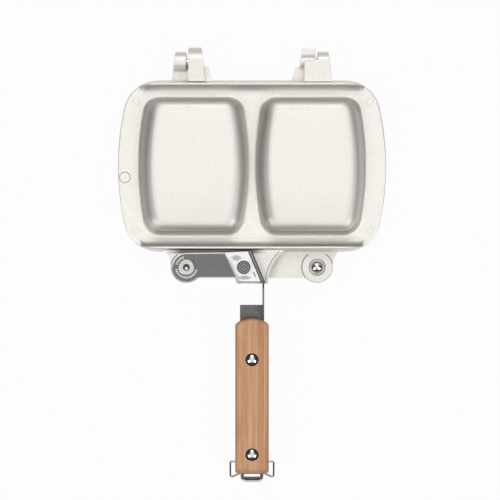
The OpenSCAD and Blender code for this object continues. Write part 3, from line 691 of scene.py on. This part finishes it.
def bambooFinish(name, values):
    # glued strips along the grip, each with its own tone, under fibres, bands and blotches
    made = Finish(name)
    x, y, z = made.axes()
    wander = made.noise(made.place(values["wanderScale"]), 1.0, detail=1) * (values["wander"] * mm)
    strip = (x + wander + z * values["lean"]) * (1 / (values["strip"] * mm))
    tone = made.node("ShaderNodeTexWhiteNoise", {"noise_dimensions": "1D"},
                     {"W": made.worked("FLOOR", strip)}, output="Value")
    colour = made.ramp(tone, values["tones"])
    grains = {}
    for layer in bambooLayers:
        grain = made.noise(made.place(layer["scale"]), 1.0, layer["detail"], layer["rough"])
        colour = made.blend(layer["share"], colour, made.ramp(grain, layer["tones"]), "MULTIPLY")
        grains[layer["name"]] = grain
    seam = abs(made.worked("FRACT", strip) - 0.5) > values["seamEdge"]
    colour = made.blend(seam * values["seamShare"], colour, values["seam"])
    fibre = grains["fibre"]
    return made.finished(values, colour, fibre * values["fibreRough"], fibre - seam * values["seamDip"])


bamboo = bambooFinish("bamboo", bambooValues)
releaseCoat = coatFinish("releaseCoat", coatValues)
print("finishes made")


plateForm = {"width": 235, "depth": 150, "sideR": 231, "cornerR": 31, "flange": 3.2, "gap": 0.1,
             "steps": 20, "voxel": 1.0, "smoothing": 5, "lastSmoothing": 2}
pocketForm = {"width": 97, "depth": 121, "height": 20, "sideR": 263, "cornerR": 15, "wall": 3,
              "lean": 20, "roundR": 11, "depthShare": 0.82, "cornerShare": 0.65, "steps": 12,
              "crown": ((0, 0.5), (4, 0.28), (10, 0.1), (20, 0.0)), "coatStart": 0.6}
rimForm = {"height": 11, "top": 2, "draft": 2.7, "filletR": 7.8, "halfLength": 89.5, "endRun": 12.1,
           "steps": 10, "spare": 1}


def bowed(halfW, halfD, sideR, cornerR, steps):
    # sides bow out and the corners are round, in millimetres
    lean = math.degrees(math.asin((halfD - cornerR) / (sideR - cornerR)))
    cx = halfW - sideR
    cornerX = cx + (sideR - cornerR) * math.cos(math.radians(lean))
    half = arc(cx, 0, sideR, -lean, lean, steps)
    half += arc(cornerX, halfD - cornerR, cornerR, lean, 90, steps)[1:]
    half += arc(-cornerX, halfD - cornerR, cornerR, 90, 180 - lean, steps)[:-1]
    return half + [(-x, -y) for x, y in half]


def plateRing(points, z, x=0.0):
    # a flat outline in millimetres as a ring of places in the frame
    return [at(px + x, py, z) for px, py in points]


def pocketRings(side, wall, low):
    # a pocket from its foot to its top; wall is how far inside the outer skin it lies
    form = pocketForm
    lean = math.radians(form["lean"])
    r = form["roundR"] - wall
    crown = form["crown"] if wall == 0 else form["crown"][-1:]
    centreZ = form["height"] - form["roundR"] - crown[0][1]
    bendIn = (centreZ + form["roundR"] * math.sin(lean) - plateForm["flange"]) * math.tan(lean)
    centreIn = bendIn + form["roundR"] * math.cos(lean)
    profile = [((low - plateForm["flange"]) * math.tan(lean) + wall / math.cos(lean), low)]
    for i in range(form["steps"] + 1):
        t = lean + (math.pi / 2 - lean) * i / form["steps"]
        profile.append((centreIn - r * math.cos(t), centreZ + r * math.sin(t)))
    profile += [(profile[-1][0] + inset, form["height"] - drop) for inset, drop in crown[1:]]
    rings = []
    for inset, z in profile:
        points = bowed(form["width"] / 2 - inset, form["depth"] / 2 - inset * form["depthShare"],
                       form["sideR"] - inset, form["cornerR"] - inset * form["cornerShare"],
                       plateForm["steps"] // 2)
        rings.append(plateRing(points, z, side * pocketX / mm))
    return rings


def plateOutline(inset, z):
    form = plateForm
    return plateRing(bowed(form["width"] / 2 - inset, form["depth"] / 2 - inset, form["sideR"] - inset,
                           form["cornerR"] - inset, form["steps"]), z)


def rimBar(side):
    # the rim's section pulled along the plate's edge, leaning in with the outline, its ends sloped
    form = rimForm
    outer = plateForm["depth"] / 2 + form["spare"]
    middle = plateForm["depth"] / 2 - form["draft"] - form["top"] - form["filletR"]
    reach = form["halfLength"] + form["endRun"]
    section = [(outer, plateForm["gap"]), (outer, form["height"])]
    section += arc(middle, form["height"], form["filletR"], 0, -90, form["steps"])
    section.append((middle, plateForm["gap"]))
    bar = slab([(y * mm, z * mm) for y, z in section], -reach * mm, reach * mm)
    # the section's (across, up) become Y and Z, and the pull becomes X
    turn = Matrix(((0, 0, 1, 0), (1, 0, 0, 0), (0, 1, 0, 0), (0, 0, 0, 1)))
    flip = Matrix.Diagonal((1, side, 1, 1))
    moved(bar, Matrix.Translation((0, plateY, shutZ)) @ flip @ turn)
    for end in (1, -1):
        keepSide(bar, at(end * form["halfLength"], 0, form["height"]),
                 (end * (form["height"] - plateForm["flange"]), 0, form["endRun"]))
    leaning = lofted([plateOutline(0, 0), plateOutline(0, plateForm["flange"]),
                      plateOutline(form["draft"], form["height"])])
    return combine(faceOut(bar), leaning, "INTERSECT")


def plateShell(name):
    form = plateForm
    shell = lofted([plateOutline(0, form["gap"]), plateOutline(0, form["flange"])])
    for side in (1, -1):
        combine(shell, rimBar(side), "UNION")
    for side in (1, -1):
        combine(shell, lofted(pocketRings(side, 0, form["flange"] / 2)), "UNION")
    for side in (1, -1):
        combine(shell, lofted(pocketRings(side, pocketForm["wall"], -1)), "DIFFERENCE")
    exact = copied(shell, name + "Guide")
    applied(shell, "REMESH", mode="VOXEL", voxel_size=form["voxel"] * mm)
    applied(shell, "SMOOTH", factor=0.5, iterations=form["smoothing"])
    applied(shell, "SHRINKWRAP", target=exact, wrap_method="NEAREST_SURFACEPOINT")
    applied(shell, "SMOOTH", factor=0.5, iterations=form["lastSmoothing"])
    bpy.data.objects.remove(exact)
    pick(shell)
    bpy.ops.object.shade_smooth()
    return named(shell, name)


def coatInside(shell):
    # faces inside the pockets take the release coat
    shell.data.materials.append(releaseCoat)
    form = pocketForm
    for face in shell.data.polygons:
        c = face.center
        inward = (c.z - shutZ) * face.normal.z < 0 and abs(c.z - shutZ) > form["coatStart"] * mm
        across = abs(abs(c.x) - pocketX) < form["width"] / 2 * mm
        if inward and across and abs(c.y - plateY) < form["depth"] / 2 * mm:
            face.material_index = 1


upperShell = plateShell("upperPlateBody")
lowerShell = turnedOver(copied(upperShell, "lowerPlateBody"))
placed(upperShell, "upper_half", "cast_metal", castFinishes["upper"], "upper_plate")
placed(lowerShell, "lower_half", "cast_metal", castFinishes["lower"], "lower_plate")
coatInside(upperShell)
coatInside(lowerShell)

castFittings = {"reach": 1.5, "edge": 0.9}


def castFitting(node, name, end):
    # the lugs or the hinge of a casting, with their edges softened
    piece = nodeCopy(node, name)
    keepSide(piece, at(0, end * (plateForm["depth"] / 2 - castFittings["reach"]), 0), (0, -end, 0))
    return softEdges(piece, castFittings["edge"] * mm, 3)


for half, finish in castFinishes.items():
    for end, part in ((-1, "HandleLug"), (1, "HingeEnds")):
        fitting = castFitting(half + "_plate", half + part, end)
        placed(fitting, half + "_half", "cast_metal", finish, half + "_plate")
print("plates made")


# millimetres from the plates' middle; a tilt is the upright part of a face's normal, 1 where it is level
armForm = {"edge": 0.22, "web": 9.9, "webReach": 1.2, "foldTop": (0.0, -74.4), "foldFoot": (11.4, -101.6),
           "webY": -102.2, "tangY": -119.0, "endY": -268.5, "flatTilt": 0.9985, "rampTilt": 0.96,
           "rampArea": 1e-6, "topReach": 9, "topHeight": 11.2}
armZones = ["strap", "ramp", "tang", "edge", "web", "end"]


def armZone(face, side):
    # which zone of the bent sheet a face is in
    form = armForm
    x, y = face.center.x / mm, (face.center.y - plateY) / mm
    tilt = abs(face.normal.z)
    if y < form["endY"]:
        return "end"
    if abs(x - form["web"]) < form["webReach"] and y < form["webY"]:
        return "web"
    if face.material_index == armZones.index("edge"):
        return "edge"
    if y < form["tangY"]:
        return "tang"
    if form["rampTilt"] < tilt < form["flatTilt"] and face.area > form["rampArea"]:
        return "ramp"
    high = (face.center.z - shutZ) * side > form["topHeight"] * mm
    if tilt > form["flatTilt"] and high and abs(x - form["foldFoot"][0] / 2) < form["topReach"]:
        return "ramp"
    return "strap"


def armPiece(half, side):
    # the bent sheet: brushed strap, polished ramp, brushed tang and bright cut edges
    form = armForm
    shift = 0 if half == "upper" else -2 * form["web"]
    top, foot = ((x + shift, y) for x, y in (form["foldTop"], form["foldFoot"]))
    arm = nodeCopy(half + "_arm", half + "ArmSheet")
    finishes = {"strap": strapFinishes[half], "ramp": rampFinish(half + "Ramp", top, foot, side),
                "tang": brushedTang, "edge": edgeSteel, "web": brushedWeb, "end": endSteel}
    placed(arm, half + "_handle", "brushed_sheet", finishes["strap"], half + "_arm")
    for zone in armZones[1:]:
        arm.data.materials.append(finishes[zone])
    for face in arm.data.polygons:
        face.material_index = 0
    softEdges(arm, form["edge"] * mm, 2, edgeFinish=armZones.index("edge"))
    for face in arm.data.polygons:
        face.material_index = armZones.index(armZone(face, side))
    return arm


for half, side in sides.items():
    armPiece(half, side)
print("arms made")

# profiles are (radius, height) in millimetres: a shank's from the seat, a head's from its underside,
# and a pin's from the parting plane
pivotPlace = (-57.2, -88.6)
pivotSeat = 4.7             # floor of the recess in the casting
screwForm = {"head": 9.95, "shank": ((3.0, -2), (3.0, 0), (4.0, 0)),
             "headProfile": ((4.0, 0), (6.75, 0), (7.0, 0.25), (7.0, 1.55), (6.85, 1.85), (6.5, 2.1),
                             (6.1, 2.2), (4.6, 2.2), (4.4, 2.1), (4.1, 2.1), (3.9, 2.2), (3.2, 2.2),
                             (2.9, 2.0)),
             "socketR": 2.6, "socketFloor": 0.6, "socketTop": 4, "shadedR": 2.65, "shadedTop": 2.05}
nutForm = {"radius": 4.8, "bore": 3.02, "bevel": 0.15, "skirt": 0.8, "dome": 1.9}
buttonForm = {"rest": 12.6, "pin": ((2.2, 8.2), (2.4, 8.4)),
              "head": ((2.4, 0), (6.5, 0), (6.6, 0.1), (6.6, 0.6), (5.8, 0.6), (5.8, 1.9), (5.65, 2.2),
                       (5.3, 2.38), (4.9, 2.4), (4.3, 2.4), (4.15, 2.15), (3.8, 2.15), (3.65, 2.4),
                       (1.5, 2.4), (1.3, 2.25), (0.05, 2.25))}
rivetForm = {"shankR": 2.5, "headR": 5.7, "bevel": 0.25, "skirt": 0.2, "dome": 2.4, "tang": 3.7, "grip": 15.7,
             "places": (-168.9, -251.6)}


def raised(profile, height):
    return [(r, z + height) for r, z in profile]


def finishTurned(obj, half, body, slotName, finish, node, angle=40):
    # turns a lower piece over, smooths it and puts it in its node's place
    if half == "lower":
        turnedOver(obj)
    smoothed(obj, angle)
    return placed(obj, half + "_" + body, slotName, finish, half + "_" + node)


def screwPiece(half):
    form = screwForm
    x, y = pivotPlace
    head = form["head"]
    screw = lathed(raised(form["shank"], pivotSeat) + raised(form["headProfile"], head), x, y)
    socket = slab([at(x + px, y + py, 0)[:2] for px, py in arc(0, 0, form["socketR"], 0, 300, 5)],
                  shutZ + (head + form["socketFloor"]) * mm, shutZ + (head + form["socketTop"]) * mm)
    named(combine(screw, socket, "DIFFERENCE"), half + "PivotScrew")
    finishTurned(screw, half, "half", "bright_steel", satinSteel, "pivot_screw", angle=30)
    screw.data.materials.append(socketFinishes[half])
    for face in screw.data.polygons:
        out = (face.center - pivots[half]).xy.length
        if out < form["shadedR"] * mm and abs(face.center.z - shutZ) < (head + form["shadedTop"]) * mm:
            face.material_index = 1                # the socket's floor and walls, in painted shade with a painted highlight
    return screw


def nutPiece(half):
    # domed nut, whose crown looks down from the upper half and up from the lower one
    form = nutForm
    edge = pivotSeat - form["skirt"]
    crown = [(r, 2 * edge - z) for r, z in domeProfile(form["radius"], form["dome"], edge)]
    bevel = [(form["radius"] - form["bevel"], pivotSeat), (form["radius"], pivotSeat - form["bevel"])]
    nut = named(lathed([(form["bore"], pivotSeat)] + bevel + crown, *pivotPlace), half + "DomedNut")
    return finishTurned(nut, half, "half", "bright_steel", domeSteel, "pivot_nut")


def buttonPiece(half):
    form = buttonForm
    x, y = pivotPlace
    profile = list(form["pin"]) + raised(form["head"], form["rest"])
    button = named(lathed(profile, x + buttonReach[half], y), half + "LockButton")
    return finishTurned(button, half, "button", "button_steel", buttonFinishes[half], "lock_button", angle=30)


def rivetPieces(half):
    form = rivetForm
    top, r = form["grip"], form["headR"]
    profile = [(form["shankR"], form["tang"]), (form["shankR"], top), (r - form["bevel"], top)]
    profile += domeProfile(r, form["dome"], top + form["skirt"])
    rivets = joined([lathed(profile, 0, y) for y in form["places"]], half + "GripRivets")
    return finishTurned(rivets, half, "handle", "bright_steel", domeSteel, "grip_rivets")


for half in sides:
    screwPiece(half)
    nutPiece(half)
    buttonPiece(half)
    rivetPieces(half)
print("screws, nuts, buttons and rivets made")

gripForm = {"halfWidth": 14.6, "thick": 10.5, "length": 135.3, "top": -133.0, "low": 5.2, "arch": 6.1,
            "edgeR": 3.5, "endR": 6.0, "cornerR": 2.0, "edgeShare": 0.7, "foot": 0.5, "footShare": 0.3,
            "steps": 6,
            "stations": (0.02, 0.12, 0.3, 0.6, 1.0, 1.5, 2.2, 3.0, 4.0, 5.0, 6.1, 8.0, 14, 22, 34, 48, 62,
                         76, 90, 104, 116, 124, 129.3, 130.2, 131.2, 132.2, 133.1, 133.9, 134.5, 134.9,
                         135.15, 135.28)}


def rounded(full, r, d):
    # a full size, less where the distance d from an end is within the end's rounding r
    return full - r + math.sqrt(r ** 2 - (r - d) ** 2) if d < r else full


def gripSection(d):
    # the grip's cross-section at a distance d from its arched end
    form = gripForm
    archR = (form["halfWidth"] ** 2 + form["arch"] ** 2) / (2 * form["arch"])
    left = form["length"] - d
    width = rounded(form["halfWidth"], form["cornerR"], left)
    if d < form["arch"]:
        width = math.sqrt(archR ** 2 - (archR - d) ** 2)
    height = min(rounded(form["thick"], form["edgeR"], d), rounded(form["thick"], form["endR"], left))
    r = min(form["edgeR"], width * form["edgeShare"])
    foot = min(form["foot"], width * form["footShare"])
    section = [(width - foot, 0), (width, foot)]
    section += arc(width - r, height - r, r, 0, 90, form["steps"])
    section += arc(r - width, height - r, r, 90, 180, form["steps"])
    return section + [(-width, foot), (foot - width, 0)]


def gripPiece(half):
    form = gripForm
    rings = [[at(x, form["top"] - d, form["low"] + z) for x, z in gripSection(d)] for d in form["stations"]]
    grip = named(lofted(rings), half + "BambooGrip")
    return finishTurned(grip, half, "handle", "bamboo", bamboo, "grip")


for half in sides:
    gripPiece(half)
print("grips made")

bailForm = {"wire": 0.8, "sides": 14, "bend": 1.5, "bendSteps": 8, "slope": 24.8,
            "half": ((10.6, 0.0), (19.0, 0.0), (19.0, -16.4), (10.4, -11.9))}


def bendPlaces(a, b, c, r, steps):
    # places round a bend of the wire at b, with the way the wire runs there
    start = math.atan2(b[1] - a[1], b[0] - a[0])
    sweep = (math.atan2(c[1] - b[1], c[0] - b[0]) - start + math.pi) % (2 * math.pi) - math.pi
    side = -1 if sweep < 0 else 1
    back = r * math.tan(abs(sweep) / 2)
    cx = b[0] - back * math.cos(start) - side * r * math.sin(start)
    cy = b[1] - back * math.sin(start) + side * r * math.cos(start)
    headings = [start + sweep * i / steps for i in range(steps + 1)]
    return [(cx + side * r * math.sin(h), cy - side * r * math.cos(h), h) for h in headings]


def bailPiece():
    form = bailForm
    path = list(form["half"]) + [(-x, y) for x, y in reversed(form["half"])]
    places = [(*path[0], 0.0)]
    for a, b, c in zip(path, path[1:], path[2:]):
        places += bendPlaces(a, b, c, form["bend"], form["bendSteps"])
    places.append((*path[-1], 0.0))
    tilt = Matrix.Rotation(math.radians(form["slope"]), 4, "X")
    rings = []
    for x, y, heading in places:
        ring = []
        for out, up in arc(0, 0, form["wire"], 0, 360, form["sides"])[:-1]:
            point = Vector((x - out * math.sin(heading), y + out * math.cos(heading), up))
            ring.append(tuple(tilt @ (point * mm) + bailPivot))
        rings.append(ring)
    bail = smoothed(named(lofted(rings), "bailWire"), 50)
    return placed(bail, "bail_wire", "bright_steel", wireSteel, "bail")


bailPiece()
print("bail made")

smallForm = {"hinge_pin": ("HingePin", "half", "bright_steel", domeSteel, 0.35),
             "pivot_washer": ("PivotWasher", "half", "bright_steel", satinSteel, 0.08),
             "button_collar": ("ButtonCollar", "handle", "bright_steel", edgeSteel, 0.15)}


def smallPiece(half, part):
    # a small turned piece from the frame, with its edges broken
    name, body, slotName, finish, edge = smallForm[part]
    piece = nodeCopy(half + "_" + part, half + name)
    softEdges(piece, edge * mm, 2)
    return placed(piece, half + "_" + body, slotName, finish, half + "_" + part)


def springPiece(half):
    spring = nodeCopy(half + "_button_spring", half + "ButtonSpring")
    applied(spring, "SUBSURF", levels=1, render_levels=1)
    smoothed(spring, 60)
    return placed(spring, half + "_handle", "bright_steel", satinSteel, half + "_button_spring")


for half in sides:
    for part in smallForm:
        smallPiece(half, part)
    springPiece(half)
print("pins, washers, collars and springs made")


stageValues = {"floorSize": 6.0, "floorZ": -0.5 * mm, "floorColour": (0.3, 0.3, 0.3, 1), "floorGlow": 0.97,
               "worldStops": ((0.72, (0.04, 0.04, 0.0392, 1)), (0.98, (0.95, 0.95, 0.95, 1)))}


def makeFloor():
    clearSelection()
    bpy.ops.mesh.primitive_plane_add(size=stageValues["floorSize"], location=(0, 0, stageValues["floorZ"]))
    floor = named(bpy.context.object, "studioFloor")
    made = Finish("paleFloor")
    made.set(Base_Color=stageValues["floorColour"], Roughness=0.8)
    # the floor glows for the camera and in reflections, as pale as white paper
    rays = sum(made.node("ShaderNodeLightPath", output="Is " + kind + " Ray")
               for kind in ("Camera", "Glossy", "Transmission"))
    glow = made.node("ShaderNodeEmission", {}, {"Color": (1, 1, 1, 1), "Strength": 1.0})
    share = made.worked("MINIMUM", rays, 1.0) * stageValues["floorGlow"]
    mixed = made.node("ShaderNodeMixShader", {}, {0: share, 1: Wire(made, made.shader.outputs[0]), 2: glow})
    made.tree.links.new(mixed.socket, made.tree.nodes["Material Output"].inputs["Surface"])
    floor.data.materials.append(made.material)


def makeWorld():
    world = bpy.data.worlds.new("studio")
    bpy.context.scene.world = world
    world.use_nodes = True
    tree = world.node_tree
    back = tree.nodes["Background"]
    where = tree.nodes.new("ShaderNodeTexCoord")
    split = tree.nodes.new("ShaderNodeSeparateXYZ")
    ramp = tree.nodes.new("ShaderNodeValToRGB")
    for element, (place, colour) in zip(ramp.color_ramp.elements, stageValues["worldStops"]):
        element.position = place
        element.color = colour
    tree.links.new(where.outputs["Generated"], split.inputs[0])
    tree.links.new(split.outputs["Z"], ramp.inputs[0])
    tree.links.new(ramp.outputs[0], back.inputs["Color"])
    back.inputs["Strength"].default_value = 1.0


lampValues = [
    {"name": "backSoftbox", "at": (0.0, 1.45, 1.6), "size": 1.15, "watts": 16},
    {"name": "leftSoftbox", "at": (-1.25, -0.75, 1.6), "size": 0.85, "watts": 16},
    {"name": "rightSoftbox", "at": (1.25, -0.75, 1.6), "size": 0.85, "watts": 16},
]
lampAim = Vector((0, 0, 0.02))


def makeLamps():
    for values in lampValues:
        lamp = bpy.data.lights.new(values["name"], "AREA")
        lamp.shape = "DISK"
        lamp.size = values["size"]
        lamp.energy = values["watts"]
        holder = bpy.data.objects.new(values["name"], lamp)
        bpy.context.scene.collection.objects.link(holder)
        holder.location = values["at"]
        holder.rotation_euler = (lampAim - holder.location).to_track_quat("-Z", "Y").to_euler()


# the photograph looks straight down; its middle is in front of the plates' middle
cameraValues = {"offX": -1.75 * mm, "offY": -73.5 * mm, "height": 1.70, "viewWidth": 438.45 * mm,
                "sensor": 36, "farEnd": 20}


def makeCamera():
    camera = bpy.data.cameras.new("overhead")
    camera.sensor_width = cameraValues["sensor"]
    camera.lens = cameraValues["sensor"] * cameraValues["height"] / cameraValues["viewWidth"]
    camera.clip_end = cameraValues["farEnd"]
    holder = bpy.data.objects.new("overhead", camera)
    bpy.context.scene.collection.objects.link(holder)
    holder.location = (cameraValues["offX"], plateY + cameraValues["offY"], shutZ + cameraValues["height"])
    bpy.context.scene.camera = holder


makeFloor()
makeWorld()
makeLamps()
makeCamera()
bpy.context.scene.view_settings.view_transform = "Standard"
print("stage made")
